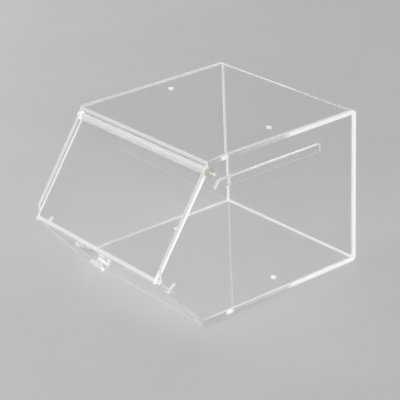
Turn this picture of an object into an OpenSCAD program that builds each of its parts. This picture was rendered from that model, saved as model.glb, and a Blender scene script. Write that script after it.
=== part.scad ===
// Clear countertop bin with a slanted front flap.
// One sheet is line bent into the top, back, base and lower front. Two side
// panels sit between its walls, flush with its cut edges. The flap hangs from
// a rod through both sides and rests on the cut edge of the lower front.
// +Z is up, the flap faces -Y, and the origin is the middle of the underside.

/* [Case] */
// Width over the cut edges of the bent sheet
body_w = 200; // [140:1:300]
// Height of the case
body_h = 162; // [150:1:200]
// Depth of the top, from the back to its front edge
top_depth = 185; // [175:1:200]
// Depth of the base, from the back to the fold of the lower front
base_depth = 199; // [190:1:210]
// Length of the lower front, from its fold to its cut edge
lip_l = 75.5; // [66:1:86]
// Slope of the lower front above the base, in degrees
lip_slope = 51; // [45:0.5:54]
// Thickness of the bent sheet
sheet_t = 4; // [3:0.5:5]
// Inner radius of the line bends
bend_r = 0.5; // [0.4:0.1:1.5]
// Thickness of the side panels
side_t = 4; // [3:0.5:5]
// Height of the blunt nose of the side panels
nose_h = 12; // [8:0.5:16]

/* [Side strip] */
// Length of the strip on the right side, at its middle height
strip_l = 127; // [60:1:135]
// Height of the strip
strip_h = 7.5; // [5:0.5:12]
// Thickness of the strip
strip_t = 4; // [3:0.5:5]
// Distance from the back of the case to the rear end of the strip
strip_back = 51; // [40:1:55]
// Distance from the top of the case to the middle of the strip
strip_drop = 24; // [22:0.5:40]

/* [Side cuts] */
// Width of the saw cut in each front corner
kerf_w = 1.6; // [1:0.1:2.5]
// Length of the saw cut, from the outside of the lower front
kerf_l = 11.5; // [8:0.5:14]
// Distance of the saw cut from the cut edge of the lower front
kerf_back = 14.5; // [10:0.5:20]
// Angle of the saw cut above the base, in degrees
kerf_rise = 35; // [30:1:45]

/* [Stacking holes] */
// Distance between the two holes of a pair
hole_spacing = 150; // [80:1:160]
// Distance of the holes from the back of the case
hole_back = 90; // [60:1:120]
// Diameter of the holes
hole_d = 5.5; // [4:0.1:7]

/* [Hinge] */
// Diameter of the hinge rod
rod_d = 4.75; // [4:0.25:5.5]
// Distance of the rod's axis below the top of the case
rod_drop = 10.5; // [10:0.25:14]
// Distance of the rod's axis behind the slanted edges of the sides
rod_in = 4.1; // [3.75:0.05:6]
// Reach of the rod beyond the right side
rod_reach = 8; // [6:0.5:14]
// Diameter of the rod's flat head outside the left side
head_d = 8; // [7:0.5:10]
// Thickness of the rod's flat head
head_t = 1.5; // [1:0.1:2]
// Outer diameter of the hinge tube on the flap
tube_d = 8; // [7:0.25:9]
// Diameter of the push-on cap outside the right side
cap_d = 8.4; // [7.6:0.2:12]
// Length of the push-on cap
cap_l = 3.2; // [2.4:0.2:5.6]

/* [Flap] */
// Thickness of the flap
flap_t = 4; // [3:0.5:4.5]
// Gap between the flap and each side panel
flap_gap = 1; // [0.5:0.1:2]
// Distance that the flap's lower edge runs past the cut edge it rests on
flap_over = 1; // [0:0.25:2]
// Inner radius of the pull tab's fold
fold_r = 1; // [0.8:0.1:2]
// Width of the pull tab at its fold
tab_root_w = 52; // [30:1:70]
// Radius of the pull tab's round end
tab_tip_r = 9; // [7:0.5:11]
// Angle between the pull tab and the lower front, in degrees
tab_lean = 5; // [0:0.5:12]

/* [Knob] */
// Distance of the knob from the fold, along the pull tab
knob_out = 14; // [12:0.5:18]
// Diameter of the knob's head
knob_d = 16.5; // [12:0.5:20]
// Thickness of the knob's head
knob_t = 4.5; // [4:0.5:9]
// Radius of the head's rounded rims
knob_rim_r = 1.5; // [0.5:0.25:2]
// Diameter of the knob's neck
neck_d = 9; // [8:0.5:11]
// Length of the knob's neck
neck_l = 1; // [0.5:0.25:3]
// Diameter of the knob's screw
screw_d = 4; // [3:0.5:4]
// Length of the knob's screw
screw_l = 7.5; // [6.5:0.5:8]
// Diameter of the screw's countersunk head
screw_head_d = 7.4; // [6.5:0.1:7.6]

/* [Hidden] */
$fn = 96;
clear = [0.85, 0.92, 0.94, 0.35];
clear_dense = [0.78, 0.88, 0.9, 0.5];
cream = [0.88, 0.84, 0.77];
steel = [0.62, 0.62, 0.6];
// Overrun of every cut
over = 1;
// Radial clearance of the rod in the two sides and in the cap
rod_fit = 0.05;
// Radial clearance of the turning tube on the rod
tube_fit = 0.08;
// Radial clearance of the screw in the knob and in the tab
screw_fit = 0.05;
// Gap between the closed flap and the cut edge that it rests on
rest_gap = 0.3;
// Gap between the pull tab and the outer corner of the lower front's cut edge
tab_gap = 1;
// Chamfer on the ends of the rod and on the rims of the cap
rod_ease = 0.5;
// Depth that the screw's bore runs past the screw
bore_rest = 0.5;
// Height of the cone under the screw's head
sink_h = 2;
// Width and depth of the slot in the screw's head
drive_w = 1;
drive_h = 0.9;
// Straight pieces in each arc of an outline
arc_steps = 12;

// The profile lies in the plane of Y and Z. Its first number is Y.
back_y = base_depth / 2;
top_end = [back_y - top_depth, body_h];
foot = [back_y - base_depth, 0];
lip_dir = [-cos(lip_slope), sin(lip_slope)];
lip_end = foot + lip_l * lip_dir;
path = [top_end, [back_y, body_h], [back_y, 0], foot, lip_end];
bends = [1 : len(path) - 2];

function unit(v) = v / norm(v);
function turn_of(v) = atan2(v[1], v[0]);
function arc(centre, r, from, turn) =
    [for (k = [0 : arc_steps]) let (a = from + turn * k / arc_steps)
        centre + r * [cos(a), sin(a)]];
function reversed(list) = [for (i = [len(list) - 1 : -1 : 0]) list[i]];

// Unit direction of the run that starts at point i of the path
function run(i) = unit(path[i + 1] - path[i]);
// The direction a quarter turn to the right, which is into the case
function inward(u) = [u[1], -u[0]];
function half_turn(i) = acos(run(i - 1) * run(i)) / 2;
function bend_centre(i) = let (r = bend_r + sheet_t)
    path[i] - run(i - 1) * r * tan(half_turn(i)) + inward(run(i - 1)) * r;
function bend_arc(i, r) =
    arc(bend_centre(i), r, turn_of(-inward(run(i - 1))), -2 * half_turn(i));

// Bent sheet, once along its outside and back along its inside
lip_inner = lip_end + sheet_t * inward(lip_dir);
side_top = top_end - [0, sheet_t];
body_points = concat(
    [top_end],
    [for (i = bends) each bend_arc(i, bend_r + sheet_t)],
    [lip_end, lip_inner],
    reversed([for (i = bends) each bend_arc(i, bend_r)]),
    [side_top]);

// Side panel, along the inner faces of the bent sheet, with its corners cut
// from one end of each bend to the other
nose_top = lip_inner + [0, nose_h];
slant = unit(side_top - nose_top);
side_points = concat(
    [side_top],
    [for (i = bends) let (inside = bend_arc(i, bend_r)) each [inside[0], inside[arc_steps]]],
    [lip_inner, nose_top]);

// Hinge axis beside the slanted edge, and the closed flap that hangs from it
axis_down = (rod_drop - sheet_t + rod_in * inward(slant)[1]) / slant[1];
axis = side_top - axis_down * slant + rod_in * inward(slant);
fall = lip_end - axis;
flap_slope = atan2(-fall[1], -fall[0]) - asin((flap_t / 2 + rest_gap) / norm(fall));
flap_dir = [-cos(flap_slope), -sin(flap_slope)];
flap_out = [-sin(flap_slope), cos(flap_slope)];
flap_w = body_w - 2 * (side_t + flap_gap);
flap_l = fall * flap_dir + flap_over;
tube_bore_r = rod_d / 2 + tube_fit;
side_bore_r = rod_d / 2 + rod_fit;

// Centre of the pull tab's fold: fold_r behind the flap, and so far from the
// lower front that the folded tab clears its corner by tab_gap
tab_dir = [cos(lip_slope + tab_lean), -sin(lip_slope + tab_lean)];
tab_out = inward(tab_dir);
fold_drop = tab_gap - fold_r;
fold_along = (rest_gap - fold_r - fold_drop * (flap_out * tab_out)) / (flap_out * tab_dir);
fold_c = lip_end + fold_along * tab_dir + fold_drop * tab_out;
fold_start = (fold_c - axis) * flap_dir;
fold_turn = acos(flap_dir * tab_dir);

// Flap and pull tab from the side, in the flap's own plane
tab_l = knob_out + tab_tip_r;
fold_centre = [fold_start, flap_t / 2 + fold_r];
tab_run = tab_l * [cos(fold_turn), sin(fold_turn)];
fold_outside = arc(fold_centre, fold_r + flap_t, -90, fold_turn);
fold_inside = arc(fold_centre, fold_r, -90, fold_turn);
tab_points = concat(
    [[0, -flap_t / 2]], fold_outside, [fold_outside[arc_steps] + tab_run],
    [fold_inside[arc_steps] + tab_run], reversed(fold_inside), [[0, flap_t / 2]]);

// Tangent from the tab's root to its round end
tip_angle = atan2(-knob_out, tab_root_w / 2)
    + acos(tab_tip_r / norm([tab_root_w / 2, knob_out]));
tip_side = tab_tip_r * [cos(tip_angle), sin(tip_angle)];

// Extrudes a profile of Y and Z along X, between two places
module across(x0, x1) {
    translate([x0, 0, 0])
        rotate([90, 0, 90])
            linear_extrude(x1 - x0)
                children();
}

module kerf_profile() {
    translate(lip_end - kerf_back * lip_dir)
        rotate(kerf_rise)
            translate([-over, -kerf_w / 2])
                square([kerf_l + over, kerf_w]);
}

// Saw cuts through the front corners, as deep as the side panels are thick
module kerfs() {
    for (side = [-1, 1])
        scale([side, 1, 1])
            across(body_w / 2 - side_t, body_w / 2 + over)
                kerf_profile();
}

module stacking_holes() {
    for (side = [-1, 1])
        translate([side * hole_spacing / 2, back_y - hole_back, -over])
            cylinder(h = body_h + 2 * over, d = hole_d);
}

// The strip's front end is cut parallel to the slanted edge of the side
module strip_profile() {
    rear = back_y - strip_back;
    front = rear - strip_l;
    lean = strip_h / 2 * slant[0] / slant[1];
    mid_z = body_h - strip_drop;
    polygon([[rear, mid_z + strip_h / 2], [rear, mid_z - strip_h / 2],
        [front - lean, mid_z - strip_h / 2], [front + lean, mid_z + strip_h / 2]]);
}

module side_panel() {
    difference() {
        across(body_w / 2 - side_t, body_w / 2)
            difference() {
                polygon(side_points);
                kerf_profile();
            }
        on_axis(body_w / 2 - side_t - over)
            cylinder(h = side_t + 2 * over, r = side_bore_r);
    }
}

module on_axis(x) {
    translate([x, axis[0], axis[1]])
        rotate([0, 90, 0])
            children();
}

// Places in the flap's own plane: Y runs down the flap, Z points into the case
module on_flap() {
    translate([0, axis[0], axis[1]])
        rotate([180 + flap_slope, 0, 0])
            children();
}

// Places on the outer face of the pull tab: Y runs along it, Z points away
module on_tab() {
    on_flap()
        translate([0, fold_centre[0], fold_centre[1]])
            rotate([fold_turn, 0, 0])
                mirror([0, 0, 1])
                    translate([0, 0, fold_r + flap_t])
                        children();
}

module tab_outline() {
    polygon([[-tab_root_w / 2, 0], [tab_root_w / 2, 0],
        [tip_side[0], knob_out + tip_side[1]], [0, knob_out],
        [-tip_side[0], knob_out + tip_side[1]]]);
    translate([0, knob_out]) circle(tab_tip_r);
}

// What is left beside the tab when its outline is cut
module tab_waste() {
    difference() {
        translate([-tab_root_w / 2 - over, 0])
            square([tab_root_w + 2 * over, tab_l + over]);
        tab_outline();
    }
}

module bent_body() {
    color(clear)
        difference() {
            across(-body_w / 2, body_w / 2) polygon(body_points);
            stacking_holes();
            kerfs();
        }
}

module left_side() {
    color(clear) mirror([1, 0, 0]) side_panel();
}

module right_side() {
    color(clear) side_panel();
}

// Clear strip cemented flat on the outside of the right side
module side_strip() {
    color(clear_dense)
        across(body_w / 2, body_w / 2 + strip_t) strip_profile();
}

// The flap and its pull tab are one sheet, folded under the nose in the middle
module flap() {
    shoulder = (flap_w - tab_root_w) / 2;
    color(clear)
        difference() {
            on_flap() {
                translate([-flap_w / 2, 0, -flap_t / 2])
                    cube([flap_w, fold_start, flap_t]);
                for (x = [-flap_w / 2, tab_root_w / 2])
                    translate([x, 0, -flap_t / 2]) cube([shoulder, flap_l, flap_t]);
                across(-tab_root_w / 2, tab_root_w / 2) polygon(tab_points);
            }
            on_axis(-flap_w / 2 - over)
                cylinder(h = flap_w + 2 * over, d = tube_d);
            on_tab()
                translate([0, 0, -flap_t - over])
                    linear_extrude(flap_t + 2 * over) tab_waste();
            on_tab()
                translate([0, knob_out, -flap_t - over])
                    cylinder(h = flap_t + 2 * over, r = screw_d / 2 + screw_fit);
            on_tab()
                translate([0, knob_out, -flap_t])
                    screw_cone(screw_fit);
        }
}

// Tube cemented along the flap's top edge, which turns on the rod
module hinge_tube() {
    color(clear_dense)
        on_axis(-flap_w / 2)
            difference() {
                cylinder(h = flap_w, d = tube_d);
                translate([0, 0, -over])
                    cylinder(h = flap_w + 2 * over, r = tube_bore_r);
            }
}

module hinge_rod() {
    color(clear_dense)
        on_axis(-body_w / 2)
            rotate_extrude()
                polygon([[0, -head_t],
                    [head_d / 2 - rod_ease, -head_t], [head_d / 2, rod_ease - head_t],
                    [head_d / 2, 0], [rod_d / 2, 0],
                    [rod_d / 2, body_w + rod_reach - rod_ease],
                    [rod_d / 2 - rod_ease, body_w + rod_reach],
                    [0, body_w + rod_reach]]);
}

// Push-on cap that keeps the rod from sliding out
module rod_cap() {
    color(cream)
        on_axis(body_w / 2)
            rotate_extrude()
                polygon([[side_bore_r, 0], [cap_d / 2, 0],
                    [cap_d / 2, cap_l - rod_ease], [cap_d / 2 - rod_ease, cap_l],
                    [side_bore_r, cap_l]]);
}

module knob() {
    head_r = knob_d / 2;
    color(clear_dense)
        on_tab()
            translate([0, knob_out, 0])
                difference() {
                    rotate_extrude() {
                        square([neck_d / 2, neck_l]);
                        translate([0, neck_l]) square([head_r - knob_rim_r, knob_t]);
                        translate([0, neck_l + knob_rim_r])
                            square([head_r, knob_t - 2 * knob_rim_r]);
                        for (z = [knob_rim_r, knob_t - knob_rim_r])
                            translate([head_r - knob_rim_r, neck_l + z]) circle(knob_rim_r);
                    }
                    translate([0, 0, -over])
                        cylinder(h = over + screw_l - flap_t + bore_rest,
                            r = screw_d / 2 + screw_fit);
                }
}

module screw_cone(fit) {
    cylinder(h = sink_h, r1 = screw_head_d / 2 + fit, r2 = screw_d / 2 + fit);
}

module knob_screw() {
    color(steel)
        on_tab()
            translate([0, knob_out, -flap_t])
                difference() {
                    union() {
                        screw_cone(0);
                        cylinder(h = screw_l, d = screw_d);
                    }
                    translate([-screw_head_d, -drive_w / 2, -over])
                        cube([2 * screw_head_d, drive_w, drive_h + over]);
                }
}

bent_body();
left_side();
right_side();
side_strip();
flap();
hinge_tube();
hinge_rod();
rod_cap();
knob();
knob_screw();
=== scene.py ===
import math

import bmesh
import bpy
from mathutils import Matrix, Vector


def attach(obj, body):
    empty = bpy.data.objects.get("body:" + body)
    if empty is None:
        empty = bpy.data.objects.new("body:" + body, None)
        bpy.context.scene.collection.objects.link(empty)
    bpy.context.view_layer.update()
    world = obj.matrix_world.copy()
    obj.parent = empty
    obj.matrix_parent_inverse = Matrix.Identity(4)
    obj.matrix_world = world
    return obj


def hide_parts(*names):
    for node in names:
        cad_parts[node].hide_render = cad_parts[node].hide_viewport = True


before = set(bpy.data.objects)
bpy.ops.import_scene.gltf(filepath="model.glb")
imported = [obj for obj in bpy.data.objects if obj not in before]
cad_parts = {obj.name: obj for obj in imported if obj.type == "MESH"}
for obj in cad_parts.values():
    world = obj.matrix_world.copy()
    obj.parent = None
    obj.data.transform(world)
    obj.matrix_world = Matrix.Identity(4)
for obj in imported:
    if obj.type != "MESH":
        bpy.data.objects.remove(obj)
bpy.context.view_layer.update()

MM = 0.001

# The case's own sizes, as in the CAD source
HALF_WIDTH = 100 * MM
# Distance of the side panels' inner faces from the middle
PANEL_INNER = 96 * MM
STRIP_TOP = 141.75 * MM
STRIP_BOTTOM = 134.25 * MM
STRIP_REAR = 48.5 * MM
STRIP_FRONT = Vector((0, -78.5 * MM, 138 * MM))
SIDE_SLOPE = math.radians(55.445)
HINGE = Vector((0, -84.998 * MM, 151.5 * MM))
FLAP_SLOPE = math.radians(55.073)
LIP_SLOPE = math.radians(51)
TAB_SLOPE = math.radians(56)
KERF_RISE = math.radians(35)
# Distance of the saw cuts from the upper end of the lower front
KERF_FROM_END = 14.5 * MM
LIP_END = Vector((0, -147.014 * MM, 58.675 * MM))
HOLES = [Vector((x * MM, 9.5 * MM, 0)) for x in (-75, 75)]
KNOB_FOOT = Vector((0, -142.911 * MM, 43.65 * MM))

# Width of the eased rims
EASE = 0.3 * MM
FLAP_EASE = 0.45 * MM

# Material indices, the same on every clear piece
CLEAR, EDGE, ENDS, SAWN, DRILLED, JOINT, LAID, BEND = range(8)


def along(angle):
    """Unit vector in the plane of Y and Z, at this angle above +Y."""
    return Vector((0, math.cos(angle), math.sin(angle)))


FLAP_DIR = -along(FLAP_SLOPE)
LIP_DIR = along(math.pi - LIP_SLOPE)
TAB_DIR = along(-TAB_SLOPE)
TAB_OUT = -along(math.pi / 2 - TAB_SLOPE)
KERF_DIR = along(KERF_RISE)
STRIP_AHEAD = along(SIDE_SLOPE + math.pi / 2)


# Camera
def make_camera():
    """The photograph's camera, fitted to the long edges of the case."""
    azimuth = math.radians(51.90)
    elevation = math.radians(24.26)
    roll = math.radians(-2.44)
    target = Vector((41.40, -50.45, 94.05)) * MM
    distance = 1480 * MM
    focal_length = 139.4
    back = Vector((math.sin(azimuth) * math.cos(elevation),
                   -math.cos(azimuth) * math.cos(elevation),
                   math.sin(elevation)))
    right = Vector((0, 0, 1)).cross(back).normalized()
    up = back.cross(right)
    turned_right = right * math.cos(roll) + up * math.sin(roll)
    turned_up = up * math.cos(roll) - right * math.sin(roll)
    data = bpy.data.cameras.new("camera")
    data.sensor_width = 36
    data.lens = focal_length
    data.clip_start = 0.05
    data.clip_end = 60
    camera = bpy.data.objects.new("camera", data)
    bpy.context.scene.collection.objects.link(camera)
    matrix = Matrix((turned_right, turned_up, back)).transposed().to_4x4()
    matrix.translation = target + back * distance
    camera.matrix_world = matrix
    bpy.context.scene.camera = camera


make_camera()


# Materials
class Tree:
    """A material's nodes, made one line at a time."""

    def __init__(self, name):
        self.material = bpy.data.materials.new(name)
        self.material.use_nodes = True
        self.nodes = self.material.node_tree.nodes
        self.links = self.material.node_tree.links
        self.nodes.clear()
        self.output = self.nodes.new("ShaderNodeOutputMaterial")
        self.coords = self.nodes.new("ShaderNodeTexCoord").outputs["Object"]

    def add(self, kind, **sockets):
        node = self.nodes.new("ShaderNode" + kind)
        for name, value in sockets.items():
            self.set(node, name.replace("_", " "), value)
        return node

    def set(self, node, name, value):
        socket = node.inputs[name]
        if isinstance(value, bpy.types.NodeSocket):
            self.links.new(value, socket)
        elif isinstance(value, tuple) and len(value) == 3 and socket.type == "RGBA":
            socket.default_value = (*value, 1)
        else:
            socket.default_value = value

    def math(self, operation, a, b, clamp=False):
        node = self.nodes.new("ShaderNodeMath")
        node.operation = operation
        node.use_clamp = clamp
        for socket, value in zip(node.inputs, (a, b)):
            if isinstance(value, bpy.types.NodeSocket):
                self.links.new(value, socket)
            else:
                socket.default_value = value
        return node.outputs[0]

    def stretched(self, scale, turn=(0, 0, 0)):
        """Coordinates in which a noise is drawn out along the axis of least scale."""
        node = self.add("Mapping", Vector=self.coords)
        node.inputs["Scale"].default_value = scale
        node.inputs["Rotation"].default_value = turn
        return node.outputs[0]

    def noise(self, scale, detail, rough=0.5, at=None):
        node = self.add("TexNoise", Vector=at or self.coords, Scale=scale,
                        Detail=detail, Roughness=rough)
        return node.outputs["Fac"]

    def ramp(self, value, *stops):
        """Colours between stops, each a place from 0 to 1 and a colour or grey."""
        node = self.nodes.new("ShaderNodeValToRGB")
        self.links.new(value, node.inputs["Fac"])
        while len(node.color_ramp.elements) < len(stops):
            node.color_ramp.elements.new(0.5)
        for element, (place, colour) in zip(node.color_ramp.elements, stops):
            element.position = place
            if not isinstance(colour, tuple):
                colour = (colour, colour, colour)
            element.color = (*colour, 1)
        return node.outputs["Color"]

    def bump(self, height, strength, distance):
        node = self.add("Bump", Height=height, Strength=strength, Distance=distance)
        return node.outputs["Normal"]

    def tinted(self, colour, tint):
        """The product of two colours."""
        node = self.nodes.new("ShaderNodeVectorMath")
        node.operation = "MULTIPLY"
        self.links.new(colour, node.inputs[0])
        self.links.new(tint, node.inputs[1])
        return node.outputs[0]

    def lets_light_by(self, surface, tint):
        """Clear plastic, whose shadow is only as dark as its tint."""
        ray = self.nodes.new("ShaderNodeLightPath").outputs["Is Shadow Ray"]
        through = self.add("BsdfTransparent", Color=tint)
        return self.mix(ray, surface, through.outputs[0])

    def mix(self, share, first, second):
        node = self.nodes.new("ShaderNodeMixShader")
        for socket, value in zip(node.inputs, (share, first, second)):
            if isinstance(value, bpy.types.NodeSocket):
                self.links.new(value, socket)
            else:
                socket.default_value = value
        return node.outputs[0]

    def finish(self, surface):
        self.links.new(surface, self.output.inputs["Surface"])
        return self.material


ACRYLIC_IOR = 1.49
# The bands along the sheet's cut ends start this far in front of Y = 0 and run for
# this length
BANDS_FRONT = 150 * MM
BANDS_LENGTH = 250 * MM


def clear_plastic(name, tint, dusty):
    """Polished clear acrylic: gentle waves, hairline scratches and a little dust haze.

    Tint is its colour where it is clean, and dusty where the haze is thickest."""
    most_dull = 0.05
    scratch_dull = 0.02
    t = Tree(name)
    slow = t.noise(scale=9, detail=1)
    haze = t.noise(scale=38, detail=4, rough=0.6)
    hairlines = t.stretched(scale=(1.2, 60, 60), turn=(0.3, 0.2, 0.5))
    lines = t.noise(scale=60, detail=2, at=hairlines)
    scratch = t.ramp(lines, (0.0, 0.0), (0.72, 0.0), (0.74, 1.0), (0.76, 0.0))
    colour = t.ramp(haze, (0.3, tint), (0.75, dusty))
    dull = t.math("MULTIPLY", t.ramp(haze, (0.62, 0.0), (0.85, 1.0)), most_dull)
    rough = t.math("ADD", dull, t.math("MULTIPLY", scratch, scratch_dull), clamp=True)
    normal = t.bump(slow, strength=0.05, distance=4 * MM)
    shader = t.add("BsdfPrincipled", Base_Color=colour, Roughness=rough, IOR=ACRYLIC_IOR,
                   Normal=normal)
    shader.inputs["Transmission Weight"].default_value = 1.0
    return t.finish(t.lets_light_by(shader.outputs[0], (0.945, 0.95, 0.949)))


def cut_edge(name, white, clear, rough, glow, bands=(), shadow=0.75):
    """Cut edge of acrylic, white where it gathers light from both of its sides.

    Clear is the share of light that passes through, glow the share that the white
    within scatters, and shadow how much light its shadow keeps. Bands are places
    along Y, each with how clear the edge is there and how bright its painted light
    and shade are there."""
    saw_lines = 0.03
    t = Tree(name)
    patch = t.noise(scale=14, detail=1)
    lines = t.noise(scale=2400, detail=1)
    colour = t.ramp(lines, (0.3, tuple(c * 0.98 for c in white)), (0.7, white))
    clearness = t.ramp(patch, (0.35, clear), (0.65, clear * 0.7))
    if bands:
        parts = t.nodes.new("ShaderNodeSeparateXYZ")
        t.links.new(t.coords, parts.inputs[0])
        from_nose = t.math("ADD", parts.outputs["Y"], BANDS_FRONT)
        place = t.math("DIVIDE", from_nose, BANDS_LENGTH)
        clearness = t.ramp(place, *((stop, share) for stop, share, bright in bands))
        # Painted light and shade: the bands' brightness scales the edge's colour along Y
        tint = t.ramp(place, *((stop, bright) for stop, share, bright in bands))
        colour = t.tinted(colour, tint)
    sawn_rough = t.math("ADD", t.math("MULTIPLY", lines, saw_lines), rough)
    shader = t.add("BsdfPrincipled", Base_Color=colour, IOR=ACRYLIC_IOR,
                   Roughness=sawn_rough)
    t.set(shader, "Transmission Weight", clearness)
    within = t.add("BsdfTranslucent", Color=colour)
    surface = t.mix(glow, shader.outputs[0], within.outputs[0])
    return t.finish(t.lets_light_by(surface, (shadow, shadow, shadow)))


def cement(name, least, most):
    """Solvent-cemented faces, which pass light straight on but for a milky haze.

    Least and most are the shares of the haze, and bubbles are whiter still."""
    milk = (0.96, 0.965, 0.96)
    bubble_share = 0.2 * most
    t = Tree(name)
    cloud = t.noise(scale=22, detail=2)
    bubble = t.ramp(t.noise(scale=420, detail=1), (0.70, 0.0), (0.74, 1.0))
    haze = t.ramp(cloud, (0.3, least), (0.7, most))
    share = t.math("ADD", haze, t.math("MULTIPLY", bubble, bubble_share), clamp=True)
    milky = t.add("BsdfPrincipled", Base_Color=milk, Roughness=0.3)
    within = t.add("BsdfTranslucent", Color=milk)
    through = t.add("BsdfTransparent", Color=(0.99, 0.992, 0.992))
    white = t.mix(0.5, milky.outputs[0], within.outputs[0])
    surface = t.mix(share, through.outputs[0], white)
    return t.finish(t.lets_light_by(surface, (0.86, 0.87, 0.87)))


def hazed_plastic(name, tint, least, most, glow, dull=(0.05, 0.12)):
    """Acrylic with a faint white haze in streaks along X, as in a rod, and white on a
    bend as a painted highlight line.

    Least and most are the shares of the light that pass straight through, glow the
    share that the haze scatters, and dull the least and the most roughness."""
    t = Tree(name)
    streak = t.noise(scale=18, detail=1, at=t.stretched(scale=(0.12, 30, 30)))
    share = t.ramp(streak, (0.3, least), (0.7, most))
    rough = t.ramp(streak, (0.3, dull[0]), (0.8, dull[1]))
    shader = t.add("BsdfPrincipled", Base_Color=tint, Roughness=rough, IOR=ACRYLIC_IOR)
    t.set(shader, "Transmission Weight", share)
    within = t.add("BsdfTranslucent", Color=tint)
    surface = t.mix(glow, shader.outputs[0], within.outputs[0])
    return t.finish(t.lets_light_by(surface, (0.84, 0.85, 0.85)))


def nylon(name):
    """Moulded cream nylon with a fine grain."""
    t = Tree(name)
    speck = t.noise(scale=900, detail=3, rough=0.6)
    colour = t.ramp(speck, (0.3, (0.47, 0.43, 0.375)), (0.7, (0.54, 0.495, 0.435)))
    rough = t.ramp(speck, (0.2, 0.38), (0.8, 0.52))
    grain = t.bump(speck, strength=0.15, distance=0.2 * MM)
    shader = t.add("BsdfPrincipled", Base_Color=colour, Roughness=rough, Normal=grain)
    shader.inputs["Subsurface Weight"].default_value = 0.15
    shader.inputs["Subsurface Radius"].default_value = (0.002, 0.0016, 0.0012)
    shader.inputs["Subsurface Scale"].default_value = 1.0
    return t.finish(shader.outputs[0])


def plated_steel(name):
    """Plated screw steel with turning marks."""
    t = Tree(name)
    turned = t.noise(scale=500, detail=3, rough=0.6, at=t.stretched(scale=(1, 6, 6)))
    colour = t.ramp(turned, (0.2, (0.42, 0.42, 0.41)), (0.8, (0.62, 0.62, 0.6)))
    rough = t.ramp(turned, (0.2, 0.22), (0.8, 0.42))
    marks = t.bump(turned, strength=0.1, distance=0.1 * MM)
    shader = t.add("BsdfPrincipled", Base_Color=colour, Roughness=rough, Normal=marks)
    shader.inputs["Metallic"].default_value = 1.0
    return t.finish(shader.outputs[0])


WHITE = (0.965, 0.968, 0.957)
# Shares of the way from the nose to the back, each with how clear the cut ends of
# the bent sheet are there and how bright their painted light and shade are there
END_CLEARNESS_AND_PAINTED_LIGHT = ((0.0, 0.8, 0.7), (0.19, 0.8, 0.7), (0.21, 0.4, 0.52), (0.315, 0.4, 0.55),
             (0.325, 0.1, 1.0), (0.345, 0.1, 1.0), (0.36, 0.4, 0.54), (0.62, 0.3, 0.64),
             (0.66, 0.04, 1.0))
sheet = clear_plastic("clear_sheet", (0.988, 0.989, 0.988), (0.977, 0.978, 0.977))
pane = clear_plastic("clear_flap", (0.989, 0.99, 0.989), (0.978, 0.979, 0.978))
rod = hazed_plastic("clear_rod", (0.97, 0.973, 0.972), least=0.74, most=0.88, glow=0.12)
moulded = hazed_plastic("clear_knob", (0.98, 0.983, 0.982), least=0.84, most=0.94,
                        glow=0.08)
edge = cut_edge("cut_edge", WHITE, clear=0.05, rough=0.3, glow=0.35)
end = cut_edge("sheet_end", WHITE, clear=0.2, rough=0.14, glow=0.35, bands=END_CLEARNESS_AND_PAINTED_LIGHT)
sawn = cut_edge("sawn_edge", WHITE, clear=0.03, rough=0.4, glow=0.5, shadow=0.88)
drilled = cut_edge("drilled_wall", WHITE, clear=0.12, rough=0.3, glow=0.45, shadow=0.85)
# The cemented joints' haze is partly the cement's own and partly painted brightness where
# they catch the light.
joint = cement("cemented_joint", least=0.42, most=0.62)
laid = cement("laid_joint", least=0.01, most=0.04)
# On the rear bends this white is a painted highlight line; on the sawn ends of rod and
# tube it is their frosted face.
bend = hazed_plastic("line_bend", (0.975, 0.978, 0.977), least=0.16, most=0.26, glow=0.3,
                     dull=(0.3, 0.4))
clear_set = (sheet, edge, end, sawn, drilled, joint, laid, bend)
flap_set = (pane, *clear_set[1:])
rod_set = (rod, *clear_set[1:])
knob_set = (moulded, *clear_set[1:])


# Clear pieces
# Corners closer than this are one
SAME_PLACE = 0.002 * MM
# Flat faces meet at less than the first angle, facets of a curve at less than the
# second, and sharp edges at more than the third
FLAT = math.radians(0.4)
CURVE = math.radians(16)
SHARP = math.radians(28)
MOST_FACET_AREA = 900 * MM * MM


def refined(node, name, body, rule, materials, bevel=EASE, cuts=(), every=False,
            rim=EDGE):
    """A copy of a CAD node with a material for each kind of face and eased edges.

    Rule gives the material of a face from its centre, its normal and the face. Cuts
    are planes, each a point and a direction, that part a face in two. Every eases
    all free edges, and not only those of cut faces. Rim is the material of the
    eased edges."""
    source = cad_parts[node]
    obj = bpy.data.objects.new(name, source.data.copy())
    bpy.context.scene.collection.objects.link(obj)
    obj.data.materials.clear()
    for material in materials:
        obj.data.materials.append(material)
    bm = bmesh.new()
    bm.from_mesh(obj.data)
    bmesh.ops.remove_doubles(bm, verts=bm.verts, dist=SAME_PLACE)
    bmesh.ops.dissolve_limit(bm, angle_limit=FLAT, verts=bm.verts, edges=bm.edges,
                             delimit=set())
    for point, direction in cuts:
        bmesh.ops.bisect_plane(bm, geom=bm.verts[:] + bm.edges[:] + bm.faces[:],
                               dist=0.5 * SAME_PLACE, plane_co=point, plane_no=direction)
    bm.normal_update()
    for face in bm.faces:
        face.material_index = rule(face.calc_center_median(), face.normal, face)
        face.smooth = is_curved(face)
    if bevel:
        free = [e for e in bm.edges if is_free(e, every)]
        bmesh.ops.bevel(bm, geom=free, offset=bevel, offset_type="OFFSET", segments=2,
                        profile=0.5, affect="EDGES", clamp_overlap=True, material=rim)
    bmesh.ops.triangulate(bm, faces=[f for f in bm.faces if len(f.verts) > 4])
    bm.to_mesh(obj.data)
    bm.free()
    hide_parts(node)
    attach(obj, body)


def is_free(edge, every):
    """True for a sharp edge of a cut face, or with every for any sharp edge, that no
    cement covers."""
    if len(edge.link_faces) != 2 or edge.calc_face_angle(0) <= SHARP:
        return False
    kinds = {face.material_index for face in edge.link_faces}
    return not kinds & {JOINT, LAID} and bool(every or kinds & {EDGE, ENDS, SAWN, DRILLED})


def is_curved(face):
    """True for a facet of a bend, a hole or a round part."""
    small = face.calc_area() < MOST_FACET_AREA
    return small and any(FLAT < e.calc_face_angle(0) < CURVE for e in face.edges)


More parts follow.
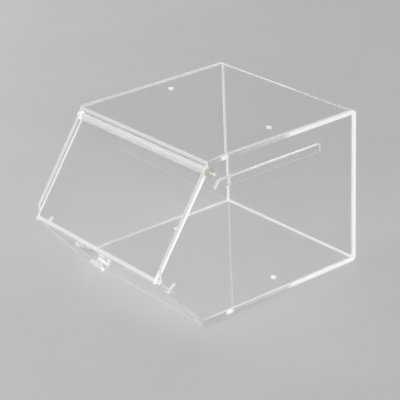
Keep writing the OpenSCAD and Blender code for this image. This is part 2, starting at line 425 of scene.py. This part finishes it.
# The rules tell a piece's faces apart by where they are and which way they look. How
# straight a face looks along a direction is the cosine between them.
STRAIGHT = 0.999
CLOSELY = 0.98
NEARLY = 0.95
MOSTLY = 0.9
PARTLY = 0.6
HARDLY = 0.3
KNOB_FLAT = 0.97

# Places, each with a little to spare
SPARE = 0.1 * MM
END_DEPTH = 1 * MM
KERF_HALF_WIDTH = 1.2 * MM
KERF_START = -2 * MM
KERF_STOP = 12.5 * MM
HOLE_RADIUS = 3.4 * MM
ROD_BORE_RADIUS = 3 * MM
TUBE_RADIUS = 4.3 * MM
KNOB_BORE_RADIUS = 5 * MM
KNOB_RIM_RADIUS = 7 * MM
LIP_END_REACH = 6 * MM
TAB_TIP_FROM = 10 * MM
TOP_ABOVE = 150 * MM
TOP_EDGE_ABOVE = 157 * MM
BACK_BEYOND = 90 * MM
BASE_BELOW = 10 * MM
LIP_BELOW = 70 * MM
SLANT_ABOVE = 60 * MM


def in_kerf(centre, normal):
    """True for the walls and the end of a saw cut."""
    away = centre - (LIP_END - LIP_DIR * KERF_FROM_END)
    side = Vector((0, -KERF_DIR.z, KERF_DIR.y))
    near = (abs(away.dot(side)) < KERF_HALF_WIDTH
            and KERF_START < away.dot(KERF_DIR) < KERF_STOP)
    return near and (abs(normal.dot(side)) > NEARLY or normal.dot(KERF_DIR) < -NEARLY)


def under_strip(centre):
    """True for a place behind the strip, within its outline."""
    ahead = (centre - STRIP_FRONT).dot(STRIP_AHEAD)
    return STRIP_BOTTOM < centre.z < STRIP_TOP and centre.y < STRIP_REAR and ahead < 0


def body_rule(centre, normal, face):
    """Cut ends, holes, saw cuts, front edges, cemented strips and rear bends."""
    if abs(normal.x) > MOSTLY:
        return ENDS if abs(centre.x) > HALF_WIDTH - END_DEPTH else SAWN
    near_hole = any((centre.xy - hole.xy).length < HOLE_RADIUS for hole in HOLES)
    if near_hole and abs(normal.z) < HARDLY:
        return DRILLED
    if abs(centre.x) > PANEL_INNER - SPARE and in_kerf(centre, normal):
        return SAWN
    if normal.y < -NEARLY and centre.z > TOP_EDGE_ABOVE:
        return EDGE
    if normal.dot(LIP_DIR) > CLOSELY and (centre - LIP_END).yz.length < LIP_END_REACH:
        return EDGE
    if abs(centre.x) > PANEL_INNER:
        lip_in = Vector((0, math.sin(LIP_SLOPE), math.cos(LIP_SLOPE)))
        walls = [(Vector((0, 0, -1)), centre.z > TOP_ABOVE),
                 (Vector((0, -1, 0)), centre.y > BACK_BEYOND),
                 (Vector((0, 0, 1)), centre.z < BASE_BELOW),
                 (lip_in, centre.z < LIP_BELOW)]
        if any(there and normal.dot(inward) > STRAIGHT for inward, there in walls):
            return JOINT
    # Rear bends take the white bend material, a painted highlight line.
    return BEND if is_curved(face) and centre.y > 0 else CLEAR


def side_rule(centre, normal, face):
    """The place under the strip, the rod's bore, the saw cut, the slanted front edge,
    and cement on the other edges."""
    if abs(normal.x) > MOSTLY:
        outside = centre.x > HALF_WIDTH - SPARE
        return LAID if outside and under_strip(centre) else CLEAR
    if (centre - HINGE).yz.length < ROD_BORE_RADIUS:
        return DRILLED
    if in_kerf(centre, normal):
        return SAWN
    if normal.y < -PARTLY and centre.z > SLANT_ABOVE:
        return EDGE
    return JOINT


def strip_rule(centre, normal, face):
    """The laid face, the two cut ends and the polished rest."""
    if normal.x < -MOSTLY:
        return LAID
    return EDGE if abs(normal.y) > PARTLY else CLEAR


def flap_rule(centre, normal, face):
    """Cement under the tube, and the cut edges of the pane and its tab."""
    if (centre - HINGE).yz.length < TUBE_RADIUS:
        return JOINT
    if abs(normal.x) > HARDLY:
        return EDGE
    if normal.dot(FLAP_DIR) > CLOSELY:
        return EDGE
    if normal.dot(TAB_DIR) > PARTLY and (centre - LIP_END).dot(TAB_DIR) > TAB_TIP_FROM:
        return EDGE
    return CLEAR


def round_rule(centre, normal, face):
    """Hazy sawn ends of a rod or tube."""
    return BEND if abs(normal.x) > NEARLY else CLEAR


def knob_rule(centre, normal, face):
    """The screw's bore, and rounded rims on a clear knob, white as painted highlights."""
    from_axis = centre - KNOB_FOOT
    radius = (from_axis - TAB_OUT * from_axis.dot(TAB_OUT)).length
    along_axis = abs(normal.dot(TAB_OUT))
    if radius < KNOB_BORE_RADIUS and along_axis < PARTLY:
        return SAWN
    rounded = HARDLY < along_axis < KNOB_FLAT
    # The rims' white edge material is a painted highlight.
    return EDGE if radius > KNOB_RIM_RADIUS and rounded else CLEAR


refined("bent_body", "bent_sheet", "case", body_rule, clear_set, rim=ENDS,
        cuts=[(Vector((x, 0, 0)), Vector((1, 0, 0))) for x in (-PANEL_INNER, PANEL_INNER)])
refined("left_side", "left_panel", "case", side_rule, clear_set)
refined("right_side", "right_panel", "case", side_rule, clear_set,
        cuts=[(Vector((0, 0, STRIP_TOP)), Vector((0, 0, 1))),
              (Vector((0, 0, STRIP_BOTTOM)), Vector((0, 0, 1))),
              (Vector((0, STRIP_REAR, 0)), Vector((0, 1, 0))),
              (STRIP_FRONT, STRIP_AHEAD)])
# Eased on every edge, so the polished long rims of the strip take the white edge material
# as painted highlight lines.
refined("side_strip", "laid_strip", "case", strip_rule, clear_set,
        every=True)
refined("flap", "flap_pane", "flap", flap_rule, flap_set, bevel=FLAP_EASE)
refined("hinge_tube", "flap_tube", "flap", round_rule, rod_set, bevel=0)
refined("hinge_rod", "pivot_rod", "case", round_rule, rod_set, bevel=0)
refined("knob", "pull_knob", "flap", knob_rule, knob_set, bevel=0)

for name, material in (("rod_cap", nylon("cream_nylon")),
                       ("knob_screw", plated_steel("screw_steel"))):
    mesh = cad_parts[name].data
    mesh.materials.clear()
    mesh.materials.append(material)


# Studio
def make_floor():
    """A plain pale floor."""
    t = Tree("floor")
    grain = t.noise(scale=6, detail=5, rough=0.6)
    colour = t.ramp(grain, (0.3, (0.545, 0.548, 0.55)), (0.7, (0.57, 0.573, 0.575)))
    shader = t.add("BsdfPrincipled", Base_Color=colour, Roughness=0.55)
    material = t.finish(shader.outputs[0])
    mesh = bpy.data.meshes.new("floor")
    half = 12
    corners = [(-half, -half, 0), (half, -half, 0), (half, half, 0), (-half, half, 0)]
    mesh.from_pydata(corners, [], [(0, 1, 2, 3)])
    mesh.materials.append(material)
    floor = bpy.data.objects.new("floor", mesh)
    # Just under the base, so that the two faces don't fight
    floor.location.z = -0.05 * MM
    bpy.context.scene.collection.objects.link(floor)


def soft_light(name, place, wide, high, level):
    """A soft box aimed at the case. Level is what it adds to a white card facing it."""
    place = Vector(place)
    aim = Vector((0, -20, 80)) * MM
    away = (place - aim).length
    data = bpy.data.lights.new(name, "AREA")
    data.shape = "RECTANGLE"
    data.size = wide
    data.size_y = high
    data.energy = level * math.pi ** 2 * away ** 2
    lamp = bpy.data.objects.new(name, data)
    lamp.location = place
    lamp.rotation_euler = (place - aim).to_track_quat("Z", "Y").to_euler()
    bpy.context.scene.collection.objects.link(lamp)


def make_world(level):
    """Even light from all round."""
    world = bpy.data.worlds.new("studio")
    bpy.context.scene.world = world
    world.use_nodes = True
    ground = world.node_tree.nodes["Background"]
    ground.inputs["Color"].default_value = (1.0, 1.0, 1.0, 1)
    ground.inputs["Strength"].default_value = level


make_floor()
make_world(0.45)
soft_light("front_box", (-0.45, -3.0, 0.85), wide=2.4, high=1.6, level=0.4)
soft_light("right_box", (3.0, -0.15, 0.85), wide=2.4, high=1.6, level=0.5)
soft_light("left_box", (-3.0, 0.15, 0.85), wide=2.0, high=1.6, level=0.32)
soft_light("back_box", (-1.6, 0.4, 1.9), wide=0.9, high=0.9, level=0.12)

scene = bpy.context.scene
scene.view_settings.view_transform = "Standard"
# Light crosses many faces of clear sheet before it ends
most_bounces = 96
scene.cycles.max_bounces = most_bounces
scene.cycles.transmission_bounces = most_bounces
scene.cycles.glossy_bounces = most_bounces
scene.cycles.transparent_max_bounces = 64
